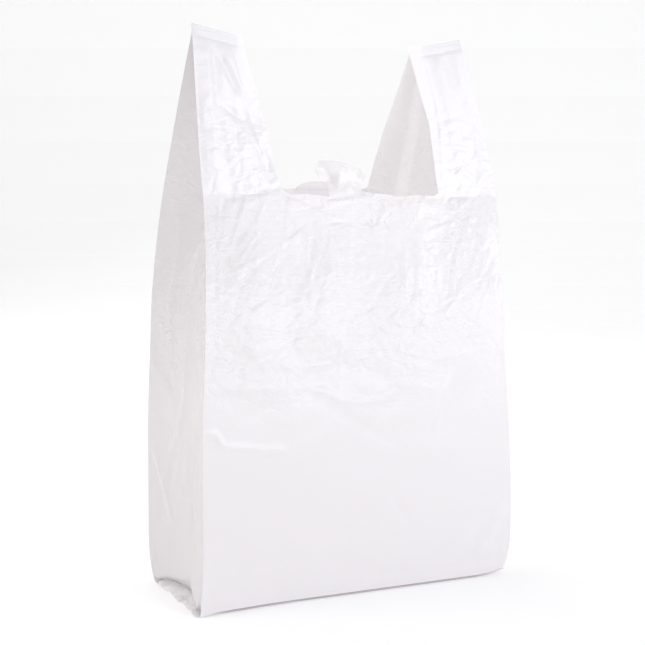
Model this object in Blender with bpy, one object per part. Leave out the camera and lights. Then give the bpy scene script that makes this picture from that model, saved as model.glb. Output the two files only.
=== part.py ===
"""Plastic carrier bag: a thin white film bag that stands open on its base.

Units are metres, +Z is up, the front panel faces -Y and the origin is the middle of the base.
"""

import math

import bmesh
import bpy

# ---------------------------------------------------------------- driving dimensions, in millimetres
WALL = 0.6              # stand-in thickness for one layer of film
BASE_LAYER = 0.9        # the folded layers of film that lie on the floor
FACE_WIDTH = 280.0      # front panel, flat
BASE_HALF_DEPTH = 57.0
BODY_HALF_DEPTH = 62.5
KNEE_HEIGHT = 250.0     # the panels lean together above this
MOUTH_HEIGHT = 327.0
MOUTH_HALF_DEPTH = 43.5
HANDLE_TOP = 454.5      # middle of a handle's welded edge
WELD_HEIGHT = 9.0       # band where the four layers of a handle are fused
WELD_HALF_THICK = 1.3
HANDLE_TOP_HALF_WIDTH = 126.0   # outer edge of a handle at its weld
HANDLE_SLOPE = 0.18     # rise of a welded edge, per unit towards the outside
GUSSET_BODY = 5.0       # how far a side panel folds inwards, low on the bag
GUSSET_MOUTH = 33.0     # the same at the mouth
GUSSET_TOP = 38.0       # the same just under a weld
PANEL_BOW = 2.5         # the front and back panels swell by this much

MOUTH_FRONT = (-66.0, 77.0)     # ends of the front edge of the mouth
MOUTH_BACK = (-78.0, 59.0)      # ends of the back edge, a little askew of the front
HANDLE_INNER_FRONT = (-79.5, 74.5)      # inner ends of the two welded edges
HANDLE_INNER_BACK = (-80.3, 75.3)
MOUTH_CORNER = 9.0              # radius where the mouth turns up into a handle

FRONT_TAB = (-8.0, 34.0, 43.0, 26.0)    # middle, neck width, flared width, height
BACK_TAB = (4.0, 34.0, 26.0, 9.0)

POCKET_HALF_WIDTH = 47.0        # tuck under each side panel, at its opening
POCKET_DEPTH = 52.0
POCKET_HEIGHT = 9.0

PANEL_POINTS = 11       # points across the front or back panel in one section
MM = 0.001


# ---------------------------------------------------------------- small tools
def clear_scene():
    for obj in list(bpy.data.objects):
        bpy.data.objects.remove(obj, do_unlink=True)


def new_collection(name):
    made = bpy.data.collections.new(name)
    bpy.context.scene.collection.children.link(made)
    return made


def add_object(name, points, faces, collection):
    """A mesh object from points in millimetres, with its faces turned outwards."""
    mesh = bpy.data.meshes.new(name)
    mesh.from_pydata([tuple(MM * c for c in p) for p in points], [], faces)
    work = bmesh.new()
    work.from_mesh(mesh)
    bmesh.ops.recalc_face_normals(work, faces=work.faces)
    work.to_mesh(mesh)
    work.free()
    obj = bpy.data.objects.new(name, mesh)
    collection.objects.link(obj)
    return obj


def add_cutter(name, points, faces, collection):
    obj = add_object(name, points, faces, collection)
    obj.hide_render = True
    obj.display_type = "WIRE"
    return obj


def cut(obj, cutter):
    step = obj.modifiers.new("cut " + cutter.name, "BOOLEAN")
    step.operation = "DIFFERENCE"
    step.solver = "EXACT"
    step.object = cutter


def mix(a, b, share):
    return a + (b - a) * share


def ease(value, low, high):
    """0 below low, 1 above high and a smooth curve between."""
    share = min(1.0, max(0.0, (value - low) / (high - low)))
    return share * share * (3.0 - 2.0 * share)


# ---------------------------------------------------------------- the bag's shape by height
def half_depth(z):
    """Half the distance from the front panel to the back panel."""
    if z >= MOUTH_HEIGHT:
        share = (z - MOUTH_HEIGHT) / (HANDLE_TOP - WELD_HEIGHT - MOUTH_HEIGHT)
        return max(WELD_HALF_THICK, mix(MOUTH_HALF_DEPTH, 4.0, share))
    foot = mix(BASE_HALF_DEPTH, BODY_HALF_DEPTH, math.sin(0.5 * math.pi * min(1.0, z / 45.0)))
    draw_in = 1.5 * ease(z, 90.0, KNEE_HEIGHT)
    lean = (BODY_HALF_DEPTH - 1.5 - MOUTH_HALF_DEPTH) * max(0.0, (z - 220.0) / (MOUTH_HEIGHT - 220.0)) ** 1.9
    return foot - draw_in - lean


def outer_edge(z, side):
    """Where a side of the bag stands, with side -1 for the left and 1 for the right."""
    foot = mix(FACE_WIDTH / 2 - 2.0, FACE_WIDTH / 2 + 0.5, math.sin(0.5 * math.pi * min(1.0, z / 30.0)))
    if side < 0:
        drawn = 4.0 * ease(z, 120.0, 260.0) + 11.0 * max(0.0, (z - 240.0) / (HANDLE_TOP - 240.0))
    else:
        waist = 9.5 * ease(z, 60.0, 265.0) - 4.5 * ease(z, 270.0, 345.0)
        drawn = waist + 9.0 * max(0.0, (z - 345.0) / (HANDLE_TOP - 345.0))
    return side * (foot - drawn)


def gusset_inset(z):
    """How far the middle fold of a side panel stands inside the bag's edges."""
    low = mix(GUSSET_BODY, GUSSET_MOUTH, ease(z, 200.0, MOUTH_HEIGHT + 25.0))
    high = mix(0.0, GUSSET_TOP - GUSSET_MOUTH, ease(z, MOUTH_HEIGHT, HANDLE_TOP - 20.0))
    closed = ease(z, HANDLE_TOP - WELD_HEIGHT - 1.0, HANDLE_TOP - WELD_HEIGHT + 1.0)
    return (low + high) * (1.0 - closed)


def panel_bow(z):
    return PANEL_BOW * ease(z, 10.0, 90.0) * (1.0 - ease(z, 250.0, 330.0))


def section(z):
    """The bag's outline at one height, counter-clockwise from above, as (x, y) points."""
    left, right = outer_edge(z, -1), outer_edge(z, 1)
    depth, bow, fold = half_depth(z), panel_bow(z), gusset_inset(z)
    shares = [i / (PANEL_POINTS - 1) for i in range(PANEL_POINTS)]
    front = [(mix(left, right, s), -depth - bow * 4.0 * s * (1.0 - s)) for s in shares]
    back = [(x, -y) for x, y in reversed(front)]
    return front + [(right - fold, 0.0)] + back + [(left + fold, 0.0)]


def inset(outline, distance):
    """The outline moved inwards by the same distance everywhere, with mitred corners."""
    moved = []
    count = len(outline)
    for i in range(count):
        before, here, after = outline[i - 1], outline[i], outline[(i + 1) % count]
        first = inward_normal(before, here)
        second = inward_normal(here, after)
        reach = distance / (1.0 + first[0] * second[0] + first[1] * second[1])
        moved.append((here[0] + reach * (first[0] + second[0]), here[1] + reach * (first[1] + second[1])))
    return moved


def inward_normal(a, b):
    dx, dy = b[0] - a[0], b[1] - a[1]
    length = math.hypot(dx, dy)
    return (-dy / length, dx / length)


def handle_rise(x, z):
    """A handle leans inwards, so its outer edge stands higher than its inner edge."""
    return HANDLE_SLOPE * (abs(x) - 100.0) * ease(z, MOUTH_HEIGHT + 10.0, HANDLE_TOP - 20.0)


def loft(outlines, heights):
    """A closed skin through outlines of equal point count, one above another."""
    count = len(outlines[0])
    points = []
    for outline, z in zip(outlines, heights):
        points += [(x, y, z + handle_rise(x, z)) for x, y in outline]
    faces = [tuple(reversed(range(count)))]
    for level in range(len(outlines) - 1):
        low, high = level * count, (level + 1) * count
        for i in range(count):
            j = (i + 1) % count
            faces.append((low + i, low + j, high + j))
            faces.append((low + i, high + j, high + i))
    top = (len(outlines) - 1) * count
    faces.append(tuple(top + i for i in range(count)))
    return points, faces


def body_heights(first, last):
    """Section heights, closer together at the foot, the knee and the mouth."""
    planned = [0, 4, 9, 16, 26, 45, 80, 120, 160, 200, 225, 245, 262, 278, 294, 310, 327, 345, 365, 390, 415, 438]
    return [first] + [float(z) for z in planned if first + 2.0 < z < last - 2.0] + [last]


# ---------------------------------------------------------------- cutters
def prism(profile, y_low, y_high):
    """An (x, z) profile drawn out along Y."""
    count = len(profile)
    points = [(x, y_low, z) for x, z in profile] + [(x, y_high, z) for x, z in profile]
    faces = [tuple(range(count)), tuple(reversed(range(count, 2 * count)))]
    for i in range(count):
        j = (i + 1) % count
        faces.append((i, i + count, j + count, j))
    return points, faces


def corner_points(x, side, height):
    """The rounded turn from a handle's inner edge into the mouth, from the handle downwards."""
    made = []
    for step in range(5):
        angle = 0.5 * math.pi * step / 4
        across = side * (-MOUTH_CORNER + MOUTH_CORNER * math.cos(angle))
        made.append((x + across, height + MOUTH_CORNER * (1.0 - math.sin(angle))))
    return made


def tab_points(tab, height):
    """The upright tongue left in the middle of the mouth, from left to right."""
    middle, neck, flare, rise = tab
    left = [(middle - 0.5 * neck - 5.0, height), (middle - 0.5 * neck, height + 2.5)]
    left += [(middle - 0.5 * mix(neck, flare, 0.5), height + 0.5 * rise)]
    left += [(middle - 0.5 * flare, height + 0.88 * rise)]
    crown = [(middle + 0.5 * flare * t, height + rise * (1.0 - 0.12 * t * t)) for t in (-0.6, -0.2, 0.2, 0.6)]
    right = [(2.0 * middle - x, z) for x, z in reversed(left)]
    return left + crown + right


def mouth_profile(ends, tops, tab):
    """What is cut away between the handles: the U of the mouth, less the tab."""
    height = MOUTH_HEIGHT - 4.0
    left = [(tops[0], 480.0), (tops[0], 452.0), (ends[0] - 5.0, 385.0)]
    right = [(tops[1], 480.0), (tops[1], 452.0), (ends[1] + 3.0, 385.0)]
    profile = left + corner_points(ends[0], -1, height) + tab_points(tab, height)
    profile += list(reversed(right + corner_points(ends[1], 1, height)))
    return profile


def pocket(side, grown):
    """The tuck where a side panel folds under: a low wedge that narrows inwards."""
    foot = side * FACE_WIDTH / 2
    floor = BASE_LAYER if grown == 0.0 else -2.0
    mouth_x = foot + side * 12.0
    tip = foot - side * (POCKET_DEPTH + 1.5 * grown)
    wide = POCKET_HALF_WIDTH + 1.5 * grown
    wider = wide * (1.0 + 12.0 / POCKET_DEPTH)
    high = POCKET_HEIGHT + grown
    low = BASE_LAYER + 1.0 + grown
    plan = [(mouth_x, -wider), (tip, -4.0), (tip, 4.0), (mouth_x, wider)]
    tops = [BASE_LAYER + 1.5 + grown, low, low, BASE_LAYER + 1.5 + grown]
    points = [(x, y, floor) for x, y in plan] + [(mouth_x, 0.0, floor)]
    points += [(x, y, top) for (x, y), top in zip(plan, tops)] + [(mouth_x, 0.0, high)]
    faces = [(0, 1, 2, 3, 4), (0, 5, 6, 1), (1, 6, 7, 2), (2, 7, 8, 3), (3, 8, 9, 4), (4, 9, 5, 0)]
    faces += [(5, 9, 6), (6, 9, 7), (7, 9, 8)]
    return points, faces


# ---------------------------------------------------------------- the bag
def film_material():
    made = bpy.data.materials.new("white polyethylene film")
    made.use_nodes = True
    surface = made.node_tree.nodes["Principled BSDF"]
    surface.inputs["Base Color"].default_value = (0.86, 0.85, 0.87, 1.0)
    surface.inputs["Roughness"].default_value = 0.34
    surface.inputs["IOR"].default_value = 1.54
    return made


def build():
    clear_scene()
    bag_parts = new_collection("plastic_carrier_bag")
    helpers = new_collection("helpers")

    outer_heights = body_heights(0.0, HANDLE_TOP - WELD_HEIGHT) + [HANDLE_TOP - WELD_HEIGHT + 3.0, HANDLE_TOP]
    skin = loft([section(z) for z in outer_heights], outer_heights)
    bag = add_object("carrier_bag", *skin, bag_parts)
    bag.data.materials.append(film_material())

    inner_heights = body_heights(BASE_LAYER, HANDLE_TOP - WELD_HEIGHT - 2.0)
    room = loft([inset(section(z), WALL) for z in inner_heights], inner_heights)
    inside = add_cutter("inside", *room, helpers)
    for side, name in ((-1, "left"), (1, "right")):
        cut(inside, add_cutter("tuck roof " + name, *pocket(side, WALL), helpers))
    cut(bag, inside)
    for side, name in ((-1, "left"), (1, "right")):
        cut(bag, add_cutter("tuck " + name, *pocket(side, 0.0), helpers))

    front = prism(mouth_profile(MOUTH_FRONT, HANDLE_INNER_FRONT, FRONT_TAB), -90.0, 2.0)
    back = prism(mouth_profile(MOUTH_BACK, HANDLE_INNER_BACK, BACK_TAB), -2.0, 90.0)
    cut(bag, add_cutter("mouth front", *front, helpers))
    cut(bag, add_cutter("mouth back", *back, helpers))


build()
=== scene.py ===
# %% [markdown]
# # A plastic carrier bag, standing open on its folded base
# The real bag is one tube of blown film: pressed flat with its sides folded in, sealed across the
# bottom, cut out at the mouth and welded at the top of both handles. A cloth simulation could push
# a box into this shape, but the bag's form is set by its folds and welds, and its crinkle is finer
# than simulated cloth would give. So it is built as a few dense sheets of film, shaped by
# functions of height and of distance round the bag, and then creased.

import math

import bpy
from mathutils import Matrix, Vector
import numpy as np


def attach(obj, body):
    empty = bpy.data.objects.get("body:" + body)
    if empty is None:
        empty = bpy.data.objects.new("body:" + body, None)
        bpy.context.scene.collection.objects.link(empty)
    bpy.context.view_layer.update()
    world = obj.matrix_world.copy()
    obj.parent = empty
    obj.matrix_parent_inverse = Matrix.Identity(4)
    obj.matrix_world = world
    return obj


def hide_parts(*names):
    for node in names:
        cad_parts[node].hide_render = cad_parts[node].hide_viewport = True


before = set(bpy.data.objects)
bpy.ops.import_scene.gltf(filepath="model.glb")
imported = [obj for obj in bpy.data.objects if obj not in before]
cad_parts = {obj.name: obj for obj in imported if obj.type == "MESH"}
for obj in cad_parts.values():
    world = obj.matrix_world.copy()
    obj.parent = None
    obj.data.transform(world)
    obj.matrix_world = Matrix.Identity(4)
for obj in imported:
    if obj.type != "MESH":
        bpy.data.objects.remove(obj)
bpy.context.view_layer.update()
MM = 0.001


# %% [markdown]
# Colours are written as sRGB hex, as a colour picker shows them, and Blender's sockets want linear
# values. One function turns the one into the other. Another adds a shader node with its settings
# and links in one call, so that a material reads as a short list of steps.

# %% Colour and node helpers
def linear(hex_colour):
    """sRGB hex to linear RGBA."""
    shares = [int(hex_colour[i : i + 2], 16) / 255 for i in (0, 2, 4)]
    made = [c / 12.92 if c <= 0.04045 else ((c + 0.055) / 1.055) ** 2.4 for c in shares]
    return (*made, 1.0)


def add_node(tree, kind, settings=None, inputs=None, links=None):
    """A node with its settings, its socket values and the sockets that feed it."""
    node = tree.nodes.new(kind)
    for name, value in (settings or {}).items():
        setattr(node, name, value)
    for name, value in (inputs or {}).items():
        node.inputs[name].default_value = value
    for name, source in (links or {}).items():
        tree.links.new(source, node.inputs[name])
    return node


print("mid grey 808080 is linear", round(linear("808080")[0], 3))


# %% [markdown]
# The bag's shape is a set of curves over height, in millimetres. Nearly all of them are straight
# or smooth runs from one value to another, so one smooth step and one blend are enough to write
# them. They work on whole arrays of heights at once.

# %% Heights, and the smooth step that joins them
HEIGHT = 454.5          # middle of a handle's welded edge
WELD = 10.0             # height of the fused band
WELD_FOOT = HEIGHT - WELD
MOUTH = 323.0           # edge of the mouth
SHOULDER = 327.0        # the handles taper straight up from here
KNEE = 220.0            # the front and back lean together above this


def ease(value, low, high):
    """0 below low, 1 above high and a smooth curve between."""
    share = np.clip((value - low) / (high - low), 0.0, 1.0)
    return share * share * (3.0 - 2.0 * share)


def mix(a, b, share):
    return a + (b - a) * share


print("handle from mouth to weld, mm:", WELD_FOOT - MOUTH)


# %% [markdown]
# From front to back the bag is a box low down, a little narrower where it rests on the floor. Its
# panels lean together above the knee, and in the handles they run straight to the weld, where the
# four layers of film lie flat on each other.

# %% Depth from front to back
FOOT_DEPTH = 57.0       # half depths: at the floor,
FOOT_SWELL = 5.5        # what the film swells by just above it,
SIDE_DRAW = 1.5         # what it loses again further up,
LEAN = 17.5             # and how far the panels lean in from the knee to the shoulder
SHOULDER_DEPTH = FOOT_DEPTH + FOOT_SWELL - SIDE_DRAW - LEAN
WELD_DEPTH = 1.2        # half depth of the closed handle under its weld
LAYERS_DEPTH = 0.35     # half depth of the fused band


def half_depth(z):
    """Half the distance from the front panel to the back panel."""
    foot = FOOT_DEPTH + FOOT_SWELL * np.sin(0.5 * np.pi * np.clip(z / 45.0, 0.0, 1.0))
    lean = LEAN * np.clip((z - KNEE) / (SHOULDER - KNEE), 0.0, 1.0) ** 1.9
    body = foot - SIDE_DRAW * ease(z, 90.0, 250.0) - lean
    narrowed = (z - SHOULDER) * (SHOULDER_DEPTH - WELD_DEPTH) / (WELD_FOOT - SHOULDER)
    handle = SHOULDER_DEPTH - narrowed
    return np.where(z < SHOULDER, body, np.maximum(handle, LAYERS_DEPTH))


print("depth at the knee, mm:", round(float(2 * half_depth(np.array(KNEE))), 1))


# %% [markdown]
# From side to side the two outlines differ: the left side is drawn in steadily towards its weld,
# and the right side has a waist under the mouth. The side panels are gussets, which fold inwards a
# little low down and much more near the handles.

# %% Width, and how far the side panels fold in
FOOT_WIDTH = 138.0      # half widths: at the floor,
FOOT_BULGE = 2.5        # and what the film bulges by above it


def outer_edge(z, side):
    """Where the left (-1) or right (1) side of the bag stands."""
    foot = FOOT_WIDTH + FOOT_BULGE * np.sin(0.5 * np.pi * np.clip(z / 30.0, 0.0, 1.0))
    if side < 0:
        lean = 11.0 * np.clip((z - 240.0) / (HEIGHT - 240.0), 0.0, 1.0)
        curl = 3.5 * np.clip((z - 335.0) / (HEIGHT - 335.0), 0.0, 1.0) ** 1.4
        drawn = 4.0 * ease(z, 120.0, 260.0) + lean + curl
    else:
        waist = 9.5 * ease(z, 60.0, 265.0) - 4.5 * ease(z, 270.0, 345.0)
        drawn = waist + 9.0 * np.clip((z - 345.0) / (HEIGHT - 345.0), 0.0, 1.0)
    return side * (foot - drawn)


def gusset_inset(z):
    """How far the middle fold of a side panel stands inside the bag's edges."""
    return 4.0 + 29.0 * ease(z, 215.0, 352.0) + 5.0 * ease(z, SHOULDER, 430.0)


print("width at the mouth, mm:", round(float(outer_edge(MOUTH, 1) - outer_edge(MOUTH, -1)), 1))
print("gusset fold inside the weld, mm:", round(float(gusset_inset(WELD_FOOT)), 1))


# %% [markdown]
# Three small shifts finish the outline. A fused band leans back as the film under it does. The
# folded edge at the foot is round, so it stands just clear of the floor, a little more towards the
# right. And the handles lean inwards, so a welded edge is higher at its outer end.

# %% Lean of the welds, clearance at the foot, slope of the handles
WELD_TILT = 0.33        # how far back the band leans, for each millimetre up
TOE = 0.8               # clearance under the folded edge at the near left corner
TOE_RISE = 1.7          # what it gains a little further to the right
HANDLE_SLOPE = 0.18     # rise of a handle for each millimetre outwards
SLOPE_FROM = 100.0      # distance from the middle where that rise is nothing


def weld_lean(z):
    return WELD_TILT * np.clip(z - (WELD_FOOT + 2.4), 0.0, WELD)


def toe(x, z):
    return (TOE + TOE_RISE * ease(x, -138.0, -122.0)) * (1.0 - ease(z, 0.0, 9.0))


def handle_rise(x, z):
    return HANDLE_SLOPE * (np.abs(x) - SLOPE_FROM) * ease(z, 337.0, 434.0)


left_end = HEIGHT + handle_rise(outer_edge(HEIGHT, -1), HEIGHT)
print("outer end of the left weld, mm up:", round(float(left_end), 1))


# %% [markdown]
# The film buckles in many small facets where hands have gripped it, and hardly at all near the
# base. A crease in film is a straight ridge with a sharp crest, so each one is a tent: it rises
# from both sides to a line and fades at the line's ends. Hundreds of random ones make the crinkle,
# and the large ones are placed one by one. A noise texture would give soft dents instead of facets.

# %% Crease fields
def tent(x, z, start, end, width, height):
    """Lift of one straight crease, sharp at its crest, at each point (x, z)."""
    ax, az = start
    length = math.hypot(end[0] - ax, end[1] - az) + 1e-6
    ux, uz = (end[0] - ax) / length, (end[1] - az) / length
    along = (x - ax) * ux + (z - az) * uz
    across = (z - az) * ux - (x - ax) * uz
    past = np.maximum(np.maximum(-along, along - length), 0.0) / (0.35 * length + width)
    near = np.abs(across) / width
    return height * np.clip(1.0 - near, 0.0, 1.0) * np.clip(1.0 - past, 0.0, 1.0) ** 1.5


def path_crease(x, z, points, width, height):
    """A bent crease through several points; where its straight runs meet, the taller one counts."""
    runs = [tent(x, z, a, b, width, abs(height)) for a, b in zip(points, points[1:])]
    return math.copysign(1.0, height) * np.max(runs, axis=0)


def crinkle(x, z, count, area, length, width, height, tilt=0.0, spread=3.14):
    """Random creases over an area ((x low, x high), (z low, z high)), at tilt ± half the spread."""
    total = np.zeros_like(x)
    for _ in range(count):
        cx, cz = rng.uniform(*area[0]), rng.uniform(*area[1])
        run = rng.uniform(*length)
        wide = rng.uniform(*width)
        angle = tilt + rng.uniform(-0.5, 0.5) * spread
        lift = rng.choice([-1.0, 1.0]) * rng.uniform(*height)
        dx, dz = 0.5 * run * math.cos(angle), 0.5 * run * math.sin(angle)
        reach = 0.5 * run + 2.0 * wide + 0.4 * run
        near = (np.abs(x - cx) < reach) & (np.abs(z - cz) < reach)
        if near.any():
            ends = (cx - dx, cz - dz), (cx + dx, cz + dz)
            total[near] += tent(x[near], z[near], *ends, wide, lift)
    return total


crest = tent(np.array([0.0]), np.array([0.0]), (-5.0, 0.0), (5.0, 0.0), 2.0, 0.5)
print("lift on the crest of a crease 0.5 mm high:", float(crest[0]))


# %% [markdown]
# Each sheet is a grid of points: columns run across the panel and rows run up it. All the sheets
# that stand up share the same row heights, so their points line up where two of them meet along a
# folded edge. They aren't merged there: each sheet keeps its own edge, so the shading breaks and a
# fold stays crisp. Rows are closer together above 190 mm, where the creases are finest, and
# closest in the welds, which have ribs.

# %% Grid helpers
FINE_FROM = 190.0       # rows are closer together above this
ROWS = np.concatenate(
    [
        np.arange(0.0, FINE_FROM, 2.7),
        np.linspace(FINE_FROM, MOUTH, 80)[:-1],
        np.linspace(MOUTH, WELD_FOOT, 72)[:-1],
        np.linspace(WELD_FOOT, HEIGHT, 13),
    ]
)
MOUTH_ROW = int(np.argmin(np.abs(ROWS - MOUTH)))
sheets = []


def normals_of(grid):
    """Unit normals of a grid of points, by the cross product of its two directions."""
    up = np.gradient(grid, axis=0)
    across = np.gradient(grid, axis=1)
    normal = np.cross(across, up)
    return normal / np.maximum(np.linalg.norm(normal, axis=2, keepdims=True), 1e-9)


def creased(grid, lift, outward):
    """The grid pushed along its normals by lift, which is positive outwards."""
    return grid + normals_of(grid) * (lift * outward)[:, :, None]


def edge_fade(share, width):
    """0 on both sides of a panel and 1 further in than width, as a share of its width."""
    return ease(share, 0.0, width) * (1.0 - ease(share, 1.0 - width, 1.0))


print("rows up the bag:", len(ROWS), "of them to the mouth:", MOUTH_ROW)


# %% [markdown]
# The mouth is a U cut through all layers at once. The front edge and the back edge were cut alike,
# but the bag stands a little askew, so the back one sits further to the left and higher. The inner
# edges of the handles lean outwards as they rise, and each turns into the mouth by an arc.

# %% Mouth and handle edges
EDGE_HEIGHTS = [MOUTH, 385.0, 452.0]
INNER_EDGES = {
    ("front", -1): [-66.0, -71.0, -79.5],
    ("front", 1): [77.0, 81.5, 74.5],
    ("back", -1): [-78.0, -83.0, -80.3],
    ("back", 1): [58.0, 63.0, 75.3],
}
CORNER = {-1: 9.0, 1: 4.0}  # radius where the mouth turns up into each handle
BACK_RISE = 7.0         # the back edge of the mouth stands this much higher
# the front edge has stretched into slow waves: how far it is lifted, along the mouth
MOUTH_X = [-95, -66, -60, -44, -25, 5, 12, 32, 37, 66, 90]
MOUTH_WAVE = [0.0, 2.5, 0.0, 1.0, -1.0, 2.7, 2.7, 0.4, -1.2, -0.2, 0.0]


def inner_edge(z, panel, side):
    """Inner edge of a handle, with its rounded turn into the mouth."""
    line = np.interp(z, EDGE_HEIGHTS, INNER_EDGES[panel, side])
    drop = np.clip(1.0 - (z - MOUTH) / CORNER[side], 0.0, 1.0)
    return line - side * CORNER[side] * (1.0 - np.sqrt(1.0 - drop**2))


for panel in ("front", "back"):
    print(panel, "edge of the mouth, mm:", INNER_EDGES[panel, 1][0] - INNER_EDGES[panel, -1][0])


# %% [markdown]
# The crinkle comes in four sizes: fine facets, medium folds, a few long soft lines low down, and
# broad waves. Each size is spread over the whole panel and then weighed by height, because the
# film is crumpled most round the mouth, is pulled smooth in the handles and is nearly flat below.

# %% Random crinkle of the front and back panels
ALONG = (-140, 140)     # the panel from side to side
CRINKLES = [
    # count, from and to what height, ranges of length, half width and height, tilt, spread
    (1500, (165, 455), (8, 30), (1.8, 3.4), (0.06, 0.24), 0.2, 2.6),    # fine
    (420, (165, 450), (10, 44), (2.2, 5), (0.12, 0.48), 0.6, 2.0),      # medium
    (90, (5, 200), (15, 70), (5, 14), (0.05, 0.22), 0.1, 1.2),          # low
    (60, (120, 450), (30, 90), (16, 34), (0.4, 1.3), 1.2, 1.8),         # broad
]


def panel_creases(x, z):
    """Lift of the film on the front or back panel, outwards."""
    upper = 0.75 * ease(z, 125.0, 215.0) + 0.25 * ease(z, 220.0, 300.0)
    calm = 1.0 - 0.65 * ease(z, 375.0, 410.0)
    flat = 1.0 - 0.75 * ease(z, 325.0, 365.0)
    fine, medium, low, broad = (
        crinkle(x, z, count, (ALONG, heights), *rest) for count, heights, *rest in CRINKLES
    )
    small = fine * (0.10 + 0.90 * upper) + medium * (0.15 + 0.85 * upper) * flat
    return calm * small + broad * upper * flat + low


print("creases on a panel:", sum(row[0] for row in CRINKLES))


# %% [markdown]
# The large creases tell this bag from another, so each is placed: its points (x, z), half width
# and height, with a dent below zero. Some hang from the corners of the mouth, some were folded in
# when the bag was packed, and the pleats gather where a handle was welded. Two broad ridges run
# up the front, where the film bows between the mouth and the body.

# %% Placed creases of the front panel
FRONT_CREASES = [
    # below the left corner of the mouth
    ([(-50, 294), (-72, 284), (-105, 267)], 2.2, 0.6),
    ([(-78, 321), (-92, 300), (-108, 280)], 2.6, 0.5),
    ([(-97, 320), (-112, 288)], 2.8, 0.45),
    ([(-90, 294), (-104, 278)], 2.2, 0.4),
    # draped along the mouth
    ([(-26, 318), (4, 318)], 3.0, 1.0),
    ([(-56, 317), (-36, 309), (-5, 302)], 2.6, 0.7),
    ([(-22, 302), (14, 302)], 3.5, -1.0),
    ([(-112, 320), (-74, 326)], 3.5, -0.9),
    ([(80, 322), (126, 326)], 3.5, -0.7),
    # packing folds across the body
    ([(-20, 200), (-32, 190), (-50, 189)], 2.4, 0.45),
    ([(-110, 174), (-76, 172), (-52, 173), (-37, 168), (-20, 160), (14, 158)], 2.8, 0.7),
    ([(-139, 141), (-130, 140), (-123, 130), (-90, 126), (-75, 124)], 3.0, 0.7),
    ([(75, 168), (65, 139)], 4.0, 0.8),
    # dents and ridges near the base
    ([(27, 73), (36, 61)], 6.0, -0.8),
    ([(138, 61), (127, 51), (119, 37), (110, 29)], 6.0, 1.2),
    ([(99, 43), (80, 29)], 7.0, 0.9),
    ([(10, 24), (81, 21), (122, 24)], 9.0, 1.4),
    # dents in the left handle
    ([(-100, 430), (-91, 408)], 5.0, -1.3),
    ([(-102, 390), (-87, 382), (-74, 342)], 6.0, -1.5),
    # pleats gathered under the welds
    ([(-112, 446), (-119, 330)], 5.0, 0.45),
    ([(-104, 446), (-111, 385), (-108, 328)], 5.0, -0.5),
    ([(-97, 402), (-98, 345)], 4.0, -0.5),
    ([(91, 444), (97, 390), (96, 330)], 6.0, -0.5),
    ([(101, 446), (108, 395), (104, 352)], 8.0, 0.5),
    ([(110, 446), (113, 418)], 6.0, -0.5),
    ([(118, 446), (123, 400), (126, 340)], 5.0, 0.4),
]


def soft_ridge(x, z, centre, low, high, widths, height):
    """A broad round ridge that runs up the panel, with its own width on the left and the right."""
    width = np.where(x < centre, widths[0], widths[1])
    ends = ease(z, low, low + 70.0) * (1.0 - ease(z, high - 30.0, high))
    return height * np.exp(-(((x - centre) / width) ** 2)) * ends


def front_lift(x, z):
    """All creases of the front panel."""
    lift = panel_creases(x, z)
    for points, width, height in FRONT_CREASES:
        lift += path_crease(x, z, points, width, height)
    lift += soft_ridge(x, z, 50.0 + 0.06 * (z - 250.0), 175.0, 345.0, (30.0, 12.0), 3.2)
    lift += soft_ridge(x, z, -92.0, 150.0, 330.0, (16.0, 14.0), 1.2)
    return lift


print("placed creases:", len(FRONT_CREASES))


# %% [markdown]
# In a handle the side panel is folded between front and back, but not quite out to the cut edge.
# That leaves a hem of single film along the edge, and a small step where the folded layers begin.
# The weld above is a band pressed by a hot bar: it has fine ribs and a groove at its lower edge.
# The bar's ribs are about 1 mm apart, and are drawn 2.5 mm apart so that they show.

# %% Hems and welds
HEM_WIDTH = (5.0, 12.0)     # at the mouth and near the weld
HEM_STEP = 0.5
RIB_PITCH = 2.5
RIB_HEIGHT = 0.16
GROOVE_DEPTH = 0.45


def hem_band(x, z, panel):
    """How far the folded layers stand proud of the hem."""
    wide = mix(*HEM_WIDTH, ease(z, MOUTH, 430.0))
    from_edge = np.where(x < 0.0, inner_edge(z, panel, -1) - x, x - inner_edge(z, panel, 1))
    return HEM_STEP * ease(from_edge, wide - 1.2, wide + 1.2) * ease(z, MOUTH - 2.0, MOUTH + 14.0)


def weld_ridges(x, z):
    """Ribs of the fused band, and the groove at its lower edge."""
    up = z - WELD_FOOT
    out = np.abs(x)
    ribs = RIB_HEIGHT * np.sin(2.0 * math.pi * up / RIB_PITCH)
    ribs = ribs * ease(up, 3.0, 5.0) * ease(out, 84.0, 104.0)
    groove = -GROOVE_DEPTH * np.clip(1.0 - np.abs(up - 0.8) / 1.6, 0.0, 1.0)
    return ribs + groove * ease(out, 82.0, 90.0)


print("ribs in a weld:", int(WELD / RIB_PITCH))


# %% [markdown]
# Each big panel is three grids: the body up to the mouth, and a strip for each handle above it.
# The columns are shared out so that the strips' columns go on from the body's. The random numbers
# start again for each grid of a panel, so the same creases run on from the body into the strips.

# %% Front and back panels
COLUMNS = {"front": 200, "back": 104}   # the back is the smoother one
SEEDS = {"front": 11, "back": 23}
SWELL = 2.5             # the middle of a panel bows out by this much


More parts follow.
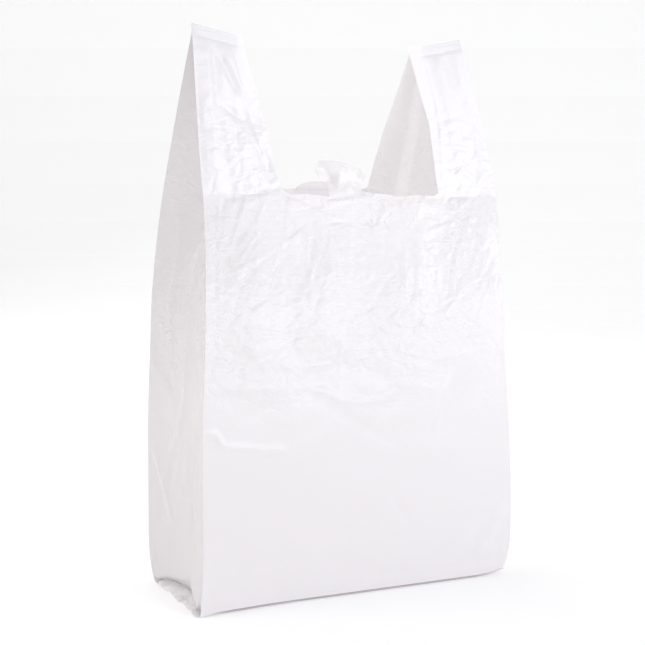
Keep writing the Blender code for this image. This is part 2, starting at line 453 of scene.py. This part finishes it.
def panel_fields(panel, columns):
    """(x, z) over the panel's body up to the mouth, and over the two handle strips above it."""
    left, right = float(outer_edge(MOUTH, -1)), float(outer_edge(MOUTH, 1))
    left_in, right_in = (float(inner_edge(MOUTH, panel, side)) for side in (-1, 1))
    cuts = [0.0, (left_in - left) / (right - left), (right_in - left) / (right - left), 1.0]
    counts = [round(columns * (b - a)) for a, b in zip(cuts, cuts[1:])]
    runs = [np.linspace(a, b, n + 1)[:-1] for a, b, n in zip(cuts, cuts[1:], counts)]
    share = np.concatenate(runs + [[1.0]])
    s, z = np.meshgrid(share, ROWS[: MOUTH_ROW + 1])
    fields = [(mix(outer_edge(z, -1), outer_edge(z, 1), s), z)]
    strips = {-1: share[: counts[0] + 1], 1: share[counts[0] + counts[1] :]}
    for side, part in strips.items():
        local = (part - part[0]) / (part[-1] - part[0])
        s, z = np.meshgrid(local, ROWS[MOUTH_ROW:])
        outer, inner = outer_edge(z, side), inner_edge(z, panel, side)
        fields.append((mix(outer, inner, s) if side < 0 else mix(inner, outer, s), z))
    return fields


def panel_grid(panel, x, z, bulge):
    """Points of the front or back panel at (x, z), before it is creased."""
    side = -1.0 if panel == "front" else 1.0
    if panel == "back":
        middle = ease(x, -100.0, -84.0) * (1.0 - ease(x, 64.0, 84.0))
        z = z + BACK_RISE * middle * ease(z, 285.0, MOUTH) * (1.0 - ease(z, MOUTH, 400.0))
    else:
        wave = np.interp(x, MOUTH_X, MOUTH_WAVE)
        z = z + wave * ease(z, 296.0, MOUTH) * (1.0 - ease(z, MOUTH, 350.0))
    y = side * (half_depth(z) + bulge) + weld_lean(z)
    return np.stack([x, y, z + handle_rise(x, z) + toe(x, z)], axis=2)


for panel, columns in COLUMNS.items():
    for x, z in panel_fields(panel, columns):
        swell = SWELL * ease(z, 10.0, 90.0) * (1.0 - ease(z, 250.0, 330.0))
        across = (x - outer_edge(z, -1)) / (outer_edge(z, 1) - outer_edge(z, -1))
        grid = panel_grid(panel, x, z, swell * 4.0 * across * (1.0 - across))
        rng = np.random.default_rng(SEEDS[panel])
        lift = front_lift(x, z) if panel == "front" else panel_creases(x, z)
        lift = lift + hem_band(x, z, panel)
        # creases die out at the folded edges, at the floor and under the weld
        near_weld = 1.0 - 0.9 * ease(z, HEIGHT - 22.0, HEIGHT - 9.0)
        fade = edge_fade(across, 0.03) * ease(z, 0.0, 12.0) * near_weld
        outward = 1.0 if panel == "front" else -1.0
        sheets.append(creased(grid, lift * fade + weld_ridges(x, z), outward))
print("panel sheets:", len(sheets), "points:", sum(g.shape[0] * g.shape[1] for g in sheets))


# %% [markdown]
# A gusset is a side panel with a fold down its middle. Low down it only curves inwards, and higher
# up the fold turns sharp. Its film is smoother than the front, with a few long creases. Just above
# the floor it is folded under: a facet hangs from a crease down to a slit, and is set back a
# little, so it lies in shade.

# %% Gussets
SIDE_CREASES = [
    # (y, z) points, half width, height
    ([(-53, 279), (-14, 247), (5, 230)], 5.0, 1.0),
    ([(-14, 183), (-9, 147), (22, 104)], 7.0, 1.3),
    ([(46, 107), (16, 63)], 7.0, 1.1),
    ([(-44, 128), (-30, 60)], 7.0, -0.9),
    ([(30, 300), (24, 210)], 8.0, 1.2),
]
# heights of the slit and of the crease above it, from the front of the bag to the back
FOLD_Y = [-57.0, -51.0, -38.5, -26.0, -21.6, 0.0, 31.0, 48.0, 57.0]
SLIT_Z = [1.0, 2.5, 4.0, 4.6, 4.8, 5.0, 4.0, 1.4, 1.0]
CREASE_Z = [3.0, 4.5, 7.5, 18.0, 20.5, 15.6, 10.6, 4.0, 2.5]
FACET = float(ROWS[7])  # the row of points that follows the crease
FACET_DEPTH = 8.0       # how far the facet's lower edge stands inside its crease


def gusset_sheet(side, columns=36):
    """One side panel, creased and with its foot folded under."""
    share, z = np.meshgrid(np.linspace(0.0, 1.0, columns + 1), ROWS)
    fold = 1.0 - np.abs(2.0 * share - 1.0)
    soft = mix(np.sin(0.5 * np.pi * fold), fold, ease(z, 230.0, 330.0))
    x = outer_edge(z, side) - side * gusset_inset(z) * soft
    y = mix(-half_depth(z), half_depth(z), share)
    slit = np.interp(y, FOLD_Y, SLIT_Z)
    crease = np.interp(y, FOLD_Y, CREASE_Z)
    down = np.clip(z / FACET, 0.0, 1.0)
    above = z + (crease - FACET) * (1.0 - ease(z, FACET, 60.0))
    folded = np.where(z < FACET, mix(slit, crease, down), above)
    inside = ease(FOOT_DEPTH - np.abs(y), 0.0, 7.0)
    set_back = side * FACET_DEPTH * (1.0 - down) * inside
    lifted = mix(z + toe(x, z), folded, inside)
    grid = np.stack([x - set_back, y + weld_lean(z), lifted + handle_rise(x, z)], axis=2)
    lift = crinkle(y, z, 60, ((-62, 62), (20, 440)), (20, 70), (5, 14), (0.1, 0.5), 1.3, 1.4)
    lift += crinkle(y, z, 160, ((-62, 62), (60, 450)), (6, 18), (2, 4), (0.04, 0.16))
    for points, width, height in SIDE_CREASES:
        lift += path_crease(y, z, points, width, height)
    fade = edge_fade(share, 0.06) * ease(z, 12.0, 30.0) * (1.0 - 0.9 * ease(z, 400.0, 440.0))
    return creased(grid, lift * fade, float(side))


rng = np.random.default_rng(31)
gusset_edges = {}
for side in (-1, 1):
    sheets.append(gusset_sheet(side))
    gusset_edges[side] = sheets[-1][0]
print("tallest part of the facet, mm:", round(max(c - s for c, s in zip(CREASE_Z, SLIT_Z)), 1))


# %% [markdown]
# The base is the lower part of the front and back panels folded under, with the welded seam across
# the middle. Its two ends are rough, where the folded layers bunch up. The front and back panels
# end in a turned-under lip, and the gussets fold inwards over the base as triangles, so a slit
# stays open at either end.

# %% Base, lips and tucks
# the ragged ends of the base: how far they reach, from the front of the bag to the back
EDGE_Y = [-57.0, -48.0, -28.0, -13.4, -12.0, 6.5, 18.5, 23.0, 40.0, 57.0]
EDGE_X = [141.0, 140.5, 139.7, 138.4, 141.2, 140.0, 138.0, 140.4, 139.5, 138.0]
BASE_HALF_DEPTH = 56.0
FLOOR_GAP = 0.4         # the lowest film stands this far off the floor
ROLL = 4.4              # height of the rolled edge at either end
LIP_INNER = 43.0        # the turned-under lips end this far from the seam
TUCK_DEPTH = 84.0       # the tucked triangles reach in to this distance from the middle


def base_sheet():
    """The layers that lie on the floor, seen as one sheet."""
    share_x, share_y = np.meshgrid(np.linspace(0.0, 1.0, 161), np.linspace(0.0, 1.0, 77))
    y = mix(-BASE_HALF_DEPTH, BASE_HALF_DEPTH, share_y)
    reach = np.interp(y, EDGE_Y, EDGE_X)
    x = mix(-reach, reach, share_x)
    inward = reach - np.abs(x)
    rim = np.sin(np.pi * share_y) ** 0.5
    edge = FOOT_DEPTH - np.abs(y)
    clear = 2.2 * ease(edge, 11.0, 14.5) * (1.0 - ease(edge, 15.0, 26.0))
    roll = ROLL * ease(inward, 0.0, 9.0) * (1.0 - ease(inward, 10.0, 28.0)) * rim
    rough = np.zeros_like(x)
    for middle in (-134.0, 134.0):
        area = ((middle - 7.0, middle + 7.0), (-50, 50))
        rough += crinkle(x, y, 26, area, (14, 40), (2.5, 6), (0.5, 1.6), 1.57, 0.9)
    wave = crinkle(x, y, 60, ((-120, 120), (-50, 50)), (8, 30), (3, 7), (0.1, 0.3))
    ends = np.abs(rough) * rim * ease(inward, 0.0, 2.0)
    return np.stack([x, y, FLOOR_GAP + clear + roll + ends + np.abs(wave)], axis=2)


def lip_sheet(side):
    """The front or back panel turned under: a lip 14 mm deep, just clear of the layer below it."""
    share_x, inward = np.meshgrid(np.linspace(0.0, 1.0, 141), np.linspace(0.0, 1.0, 7))
    left, right = (float(outer_edge(np.array(0.0), end)) for end in (-1, 1))
    x = mix(left, right, share_x)
    z = mix(toe(x, np.zeros_like(x)), 2.6, inward)
    return np.stack([x, side * mix(FOOT_DEPTH, LIP_INNER, inward), z], axis=2)


def tuck_sheet(side):
    """The gusset's folded-in triangle: from its raised lower edge inwards to the seam."""
    share, inward = np.meshgrid(np.linspace(0.0, 1.0, 37), np.linspace(0.0, 1.0, 16))
    edge_x, edge_y, edge_z = gusset_edges[side].T
    x = mix(edge_x[None, :], side * TUCK_DEPTH, inward)
    y = edge_y[None, :] * (1.0 - inward)
    arch = 2.5 * np.sin(np.pi * inward) * np.sin(np.pi * share)
    z = mix(edge_z[None, :], 3.0, inward**0.6) + arch
    return np.stack([x, y, z], axis=2)


sheets.append(base_sheet())
for side in (-1, 1):
    sheets += [lip_sheet(side), tuck_sheet(side)]
print("sheets so far:", len(sheets))


# %% [markdown]
# A block of bags hangs from tabs cut into the mouth, and tearing one off leaves a small tongue on
# each edge. The front one is flared, stands up and curls over at its lip. The back one was torn
# off short.

# %% Tabs
FRONT_TAB_CURL = 4.5
BACK_TAB_MIDDLE, BACK_TAB_HALF_WIDTH, BACK_TAB_HEIGHT = 8.0, 21.0, 6.5


def front_tab(columns=34, rows=24):
    """A flared tongue with its left tip drawn out, its right side lower and its lip curled over."""
    s, t = np.meshgrid(np.linspace(-1.0, 1.0, columns + 1), np.linspace(0.0, 1.0, rows + 1))
    left = np.interp(t, [0.0, 0.46, 0.6, 0.85, 1.0], [-24.3, -23.3, -31.0, -33.0, -33.5])
    right = np.interp(t, [0.0, 0.35, 0.7, 1.0], [10.0, 6.5, 8.5, 11.0])
    x = mix(left, right, 0.5 + 0.5 * s)
    top_s = [-1.0, -0.87, -0.43, 0.13, 0.68, 1.0]
    top = np.interp(s, top_s, [349.0, 350.6, 350.4, 349.0, 344.6, 338.7])
    z = mix(MOUTH - 1.0, top, t)
    curl = np.clip((t - 0.68) / 0.32, 0.0, 1.0)
    y = -half_depth(z) - 4.0 * t**2 + 6.5 * s * s * t - FRONT_TAB_CURL * curl**1.5
    lift = crinkle(x, z, 22, ((-34, 12), (MOUTH, 352)), (6, 18), (3, 6), (0.2, 0.8), 1.4, 2.2)
    grid = np.stack([x, y, z], axis=2)
    return creased(grid, lift * ease(t, 0.0, 0.3), 1.0)


def back_tab(columns=24, rows=8):
    """A low hump."""
    s, t = np.meshgrid(np.linspace(-1.0, 1.0, columns + 1), np.linspace(0.0, 1.0, rows + 1))
    x = BACK_TAB_MIDDLE + BACK_TAB_HALF_WIDTH * s
    foot = MOUTH + BACK_RISE
    z = foot - 1.0 + (BACK_TAB_HEIGHT * np.clip(1.0 - s * s, 0.0, 1.0) ** 0.6 + 1.0) * t
    y = half_depth(z) - 0.5
    return np.stack([x, y, z], axis=2)


rng = np.random.default_rng(43)
sheets += [front_tab(), back_tab()]
print("top of the front tab, mm:", round(float(sheets[-2][:, :, 2].max()), 1))


# %% [markdown]
# Each face of the mesh gets a number for its film, which sets the share of light let through. The
# handle strips of the front lie over folded layers and let through less, a share also set so that
# they
# read brighter: partly real, partly painted light. Those of the back let through more, painted to
# read lighter from inside the bag, and the right one has a painted highlight: a lighter stripe.

# %% Which film each face is made of, and which are painted lighter
# the last three let through more or less light to paint parts lighter; the folded layers are partly
# real
BODY_FILM, FOLDED_AND_LIT_FILM, LIT_BACK_STRIP_FILM, PAINTED_HIGHLIGHT_FILM = range(4)
FRONT_STRIPS, BACK_STRIPS = (1, 2), (4, 5)      # places of the handle strips in the list of sheets
HIGHLIGHT_STRIPE = (85.0, 99.0)   # left and right edge of the painted highlight stripe at the mouth
HIGHLIGHT_STRIPE_FOOT, HIGHLIGHT_STRIPE_TOP = 329.0, 425.0

film_of_face = []
for number, grid in enumerate(sheets):
    film = np.full((grid.shape[0] - 1, grid.shape[1] - 1), BODY_FILM)
    x, z = grid[:-1, :-1, 0], grid[:-1, :-1, 2]
    # the front strips lie over folded layers and let through less light, also set so that they read
    # brighter: partly painted light
    if number in FRONT_STRIPS:
        film[:] = FOLDED_AND_LIT_FILM
    # the back strips let through more light, painted lighter as they are seen from inside the bag
    if number in BACK_STRIPS:
        film[:] = LIT_BACK_STRIP_FILM
    if number == BACK_STRIPS[1]:
        right_of = x > HIGHLIGHT_STRIPE[0] + 0.01 * (z - HIGHLIGHT_STRIPE_FOOT)
        left_of = x < HIGHLIGHT_STRIPE[1] - 0.04 * (z - HIGHLIGHT_STRIPE_FOOT)
        # the stripe is a painted highlight: its faces let through more light, so it reads lighter
        film[right_of & left_of & (z < HIGHLIGHT_STRIPE_TOP)] = PAINTED_HIGHLIGHT_FILM
    film_of_face += film.reshape(-1).tolist()
print("faces of each film:", [film_of_face.count(kind) for kind in range(4)])


# %% [markdown]
# The bag doesn't stand quite square: the near left corner of its base flares out, and the near
# right one is lifted a little. Both shifts fade away within a few centimetres, so they are added
# to every sheet alike and no edges part.

# %% Corners of the base
FLARE = 6.0
LIFT = 4.0


def stand_askew(grid):
    x, y, z = grid[:, :, 0], grid[:, :, 1], grid[:, :, 2]
    low = np.clip(1.0 - z / 42.0, 0.0, 1.0) ** 2
    near_left = low * np.exp(-((x + 140.0) ** 2 + (y + 57.0) ** 2) / 1800.0)
    near_right = low * np.exp(-((x - 142.0) ** 2 + (y + 57.0) ** 2) / 260.0)
    shift = [-FLARE * near_left - 1.5 * near_right, -FLARE * near_left, LIFT * near_right]
    return grid + np.stack(shift, axis=2)


sheets = [stand_askew(grid) for grid in sheets]
print("leftmost point, mm:", round(min(float(g[:, :, 0].min()) for g in sheets), 1))


# %% [markdown]
# All sheets become one mesh, since they are one piece of film. Points on neighbouring edges stay
# apart, as said above, and smooth shading runs only within a sheet.

# %% One mesh
def mesh_from(grids, name):
    """A mesh of the grids' quads, with millimetres turned into metres."""
    points, faces, first = [], [], 0
    for grid in grids:
        rows, columns = grid.shape[:2]
        index = first + np.arange(rows * columns).reshape(rows, columns)
        quads = np.stack([index[:-1, :-1], index[:-1, 1:], index[1:, 1:], index[1:, :-1]], axis=2)
        points.append(grid.reshape(-1, 3) * MM)
        faces.append(quads.reshape(-1, 4))
        first += rows * columns
    mesh = bpy.data.meshes.new(name)
    mesh.from_pydata(np.concatenate(points).tolist(), [], np.concatenate(faces).tolist())
    return mesh


bag_mesh = mesh_from(sheets, "bag film")
bag = bpy.data.objects.new("bag_film", bag_mesh)
bpy.context.scene.collection.objects.link(bag)
bag_mesh.polygons.foreach_set("use_smooth", [True] * len(bag_mesh.polygons))
print("film faces:", len(bag_mesh.polygons))


# %% [markdown]
# High-density polyethylene film is blown as a thin bubble, cooled and wound. Its fine crystals make
# it milky: it scatters light through itself, and it keeps a soft sheen. A Principled surface gives
# the sheen and a Translucent one lets light through from behind, mixed by a share for each film, some
# of them set to paint parts lighter.
# Buckles too small for the mesh are bump: the value of a noise is folded at its middle, which
# turns soft hills into sharp valleys. They fade towards the base and towards the welds, and come
# in patches, as handling leaves them.

# %% Film material
BUCKLES = [
    # in a metre, how much flatter than wide, height. One in 13 mm, and one in 5 mm
    (75.0, 1.5, 1.0),
    (210.0, 1.7, 0.42),
]
PATCHES = 22.0          # in a metre: one patch in 45 mm
BUMP_HEIGHT = 0.0022    # metres
FILM_IOR = 1.54         # polyethylene
FILM_ROUGHNESS = 0.22


def fade_up(tree, place_z, heights, strengths):
    """A smooth change from one strength to another between two heights, in metres."""
    limits = {"From Min": heights[0], "From Max": heights[1]}
    limits |= {"To Min": strengths[0], "To Max": strengths[1]}
    smooth = {"interpolation_type": "SMOOTHSTEP"}
    return add_node(tree, "ShaderNodeMapRange", smooth, limits, {"Value": place_z}).outputs[0]


def buckle_height(tree, place):
    """The two sizes of buckle, added."""
    heights = []
    for scale, stretch, size in BUCKLES:
        spread = add_node(
            tree, "ShaderNodeMapping", inputs={"Scale": (1.0, 1.0, stretch)}, links={"Vector": place}
        )
        noise = add_node(
            tree,
            "ShaderNodeTexNoise",
            inputs={"Scale": scale, "Detail": 1.5, "Distortion": 0.6},
            links={"Vector": spread.outputs[0]},
        )
        value = noise.outputs["Fac"]
        centred = add_node(tree, "ShaderNodeMath", {"operation": "SUBTRACT"}, {1: 0.5}, {0: value})
        value = centred.outputs[0]
        ridge = add_node(tree, "ShaderNodeMath", {"operation": "ABSOLUTE"}, links={0: value})
        value = ridge.outputs[0]
        sized = add_node(tree, "ShaderNodeMath", {"operation": "MULTIPLY"}, {1: size}, {0: value})
        heights.append(sized.outputs[0])
    both = add_node(tree, "ShaderNodeMath", {"operation": "ADD"}, links=dict(enumerate(heights)))
    return both.outputs[0]


def buckle_strength(tree, place):
    """Strong round the mouth, weak near the base and in the handles' upper half, and patchy."""
    z = add_node(tree, "ShaderNodeSeparateXYZ", links={0: place}).outputs["Z"]
    upper = fade_up(tree, z, (0.12, 0.25), (0.10, 0.88))
    calm = fade_up(tree, z, (0.365, 0.405), (1.0, 0.3))
    patches = add_node(
        tree, "ShaderNodeTexNoise", inputs={"Scale": PATCHES, "Detail": 1.0}, links={"Vector": place}
    )
    patchy = add_node(
        tree,
        "ShaderNodeMapRange",
        inputs={"From Min": 0.35, "From Max": 0.65, "To Min": 0.35, "To Max": 1.0},
        links={"Value": patches.outputs["Fac"]},
    )
    masked = add_node(tree, "ShaderNodeMath", {"operation": "MULTIPLY"}, links={0: upper, 1: calm})
    sources = {0: masked.outputs[0], 1: patchy.outputs[0]}
    return add_node(tree, "ShaderNodeMath", {"operation": "MULTIPLY"}, links=sources).outputs[0]


def film_material(name, through_share):
    """Milky film that lets through this share of the light."""
    made = bpy.data.materials.new(name)
    made.use_nodes = True
    tree = made.node_tree
    tree.nodes.clear()
    place = add_node(tree, "ShaderNodeTexCoord").outputs["Object"]
    bump = add_node(
        tree,
        "ShaderNodeBump",
        inputs={"Distance": BUMP_HEIGHT},
        links={"Height": buckle_height(tree, place), "Strength": buckle_strength(tree, place)},
    ).outputs[0]
    surface = add_node(
        tree,
        "ShaderNodeBsdfPrincipled",
        inputs={"Base Color": linear("F3F1F3"), "Roughness": FILM_ROUGHNESS, "IOR": FILM_IOR},
        links={"Normal": bump},
    )
    through = add_node(
        tree, "ShaderNodeBsdfTranslucent", inputs={"Color": linear("F1EDED")}, links={"Normal": bump}
    )
    blend = add_node(
        tree,
        "ShaderNodeMixShader",
        inputs={"Fac": through_share},
        links={1: surface.outputs[0], 2: through.outputs[0]},
    )
    add_node(tree, "ShaderNodeOutputMaterial", links={"Surface": blend.outputs[0]})
    return made


# in the order of the film numbers: the share of light that comes through; the last three paint parts
# lighter
FILMS = {
    "white HDPE film": 0.32,
    # folded layers, and also set so that the handles read brighter: partly painted light
    "white HDPE film, folded and painted brighter": 0.15,
    # painted lighter, as seen from inside the bag
    "white HDPE film, painted lighter back strips": 0.45,
    # painted highlight stripe
    "white HDPE film, painted highlight stripe": 0.6,
}
for name, through_share in FILMS.items():
    bag_mesh.materials.append(film_material(name, through_share))
bag_mesh.polygons.foreach_set("material_index", film_of_face)
print("films:", [material.name for material in bag_mesh.materials])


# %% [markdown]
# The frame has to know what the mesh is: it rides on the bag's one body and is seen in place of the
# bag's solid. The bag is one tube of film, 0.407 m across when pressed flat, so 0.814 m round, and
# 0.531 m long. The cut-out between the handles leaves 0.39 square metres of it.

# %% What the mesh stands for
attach(bag, "root")
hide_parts("carrier_bag")
print("declared:", bag.name, "for the solid carrier_bag")


# %% [markdown]
# The stage is a pale sweep, floor and wall in one, so no horizon shows. It is turned to face the
# camera. Its paper glows very slightly, which evens out the fall of light across it.

# %% Sweep
SWEEP_HALF_WIDTH = 6.0
SWEEP_NEAR = -6.0       # the floor's near end
BEND_AT = 2.5           # the floor starts to curve up here,
BEND_RADIUS = 1.5       # by this radius,
WALL_TOP = 6.0          # into a wall this high
SWEEP_TURN = math.radians(-26.7)


def sweep():
    """A floor that curves up into a wall."""
    profile = [(SWEEP_NEAR, 0.0), (BEND_AT, 0.0)]
    for a in np.linspace(0.1, math.pi / 2, 12):
        profile.append((BEND_AT + BEND_RADIUS * math.sin(a), BEND_RADIUS - BEND_RADIUS * math.cos(a)))
    profile += [(BEND_AT + BEND_RADIUS, WALL_TOP)]
    cos, sin = math.cos(SWEEP_TURN), math.sin(SWEEP_TURN)
    points = []
    for reach, height in profile:
        for across in (-SWEEP_HALF_WIDTH, SWEEP_HALF_WIDTH):
            points.append((across * cos - reach * sin, across * sin + reach * cos, height))
    faces = [(2 * i, 2 * i + 1, 2 * i + 3, 2 * i + 2) for i in range(len(profile) - 1)]
    mesh = bpy.data.meshes.new("sweep")
    mesh.from_pydata(points, [], faces)
    made = bpy.data.objects.new("sweep", mesh)
    bpy.context.scene.collection.objects.link(made)
    return made


backdrop = sweep()
paper = bpy.data.materials.new("matt paper")
paper.use_nodes = True
shader = paper.node_tree.nodes["Principled BSDF"]
shader.inputs["Base Color"].default_value = linear("F0F0F0")
shader.inputs["Roughness"].default_value = 0.9
shader.inputs["Emission Color"].default_value = linear("FFFFFF")
shader.inputs["Emission Strength"].default_value = 0.24
shader.inputs["Specular IOR Level"].default_value = 0.1
backdrop.data.materials.append(paper)
print("sweep faces:", len(backdrop.data.polygons))


# %% [markdown]
# White film on white needs soft light from many sides with small differences. The key comes from
# the front right, a low fill lifts the foot of the front panel, and a narrow strip on the right
# draws the gloss on the crinkles. The left light is for the side panel, the back one shines
# through the film, and the last one whitens the wall. A white room fills in all the rest.

# %% Lights
LIGHTS = [
    # name, place, aimed at, size, watts, colour
    ("key", (1.7, -2.7, 2.4), (0.0, 0.0, 0.22), (2.3, 1.7), 32.0, "F7F9FF"),
    ("fill", (1.1, -3.0, 0.3), (0.0, 0.0, 0.08), (2.4, 0.6), 21.0, "F7F9FF"),
    ("strip", (1.9, -1.55, 0.6), (0.0, 0.0, 0.25), (0.25, 1.2), 9.5, "F7F9FF"),
    ("left", (-2.2, 0.6, 2.4), (0.0, 0.0, 0.45), (1.6, 1.6), 19.0, "FFFAF8"),
    ("back", (-0.6, 2.0, 1.6), (0.0, 0.0, 0.3), (2.0, 1.6), 16.0, "FFFFFF"),
    ("wall", (0.5, 1.2, 3.5), (1.4, 4.0, 1.2), (3.0, 1.0), 8.0, "FFFFFF"),
]


def soft_light(name, place, target, size, power, colour):
    """A rectangular area light that looks at its target."""
    data = bpy.data.lights.new(name, "AREA")
    data.shape = "RECTANGLE"
    data.size, data.size_y = size
    data.energy = power
    data.color = linear(colour)[:3]
    made = bpy.data.objects.new(name, data)
    made.location = place
    made.rotation_euler = (Vector(target) - Vector(place)).to_track_quat("-Z", "Y").to_euler()
    bpy.context.scene.collection.objects.link(made)


for light in LIGHTS:
    soft_light(*light)

world = bpy.data.worlds.new("white room")
world.use_nodes = True
world.node_tree.nodes["Background"].inputs["Color"].default_value = linear("FDFDFD")
world.node_tree.nodes["Background"].inputs["Strength"].default_value = 0.51
bpy.context.scene.world = world
print("lights, W:", {light[0]: light[4] for light in LIGHTS})


# %% [markdown]
# The camera is a long lens, a little above the middle of the bag, and looks at its left front
# corner. The standard view transform keeps whites as white as they are lit.

# %% Camera
AZIMUTH, ELEVATION = math.radians(-26.68), math.radians(4.32)
LENS, SENSOR = 77.3, 36.0       # millimetres
CAMERA_PLACE = (-0.5265, -1.0322, 0.305)

camera_data = bpy.data.cameras.new("camera")
camera_data.lens = LENS
camera_data.sensor_width = SENSOR
camera = bpy.data.objects.new("camera", camera_data)
camera.location = CAMERA_PLACE
camera.rotation_euler = (math.radians(90.0) - ELEVATION, 0.0, AZIMUTH)
bpy.context.scene.collection.objects.link(camera)
bpy.context.scene.camera = camera
bpy.context.scene.view_settings.view_transform = "Standard"
bpy.context.scene.view_settings.look = "None"
print("camera, m from the bag:", round(Vector(CAMERA_PLACE[:2]).length, 2))
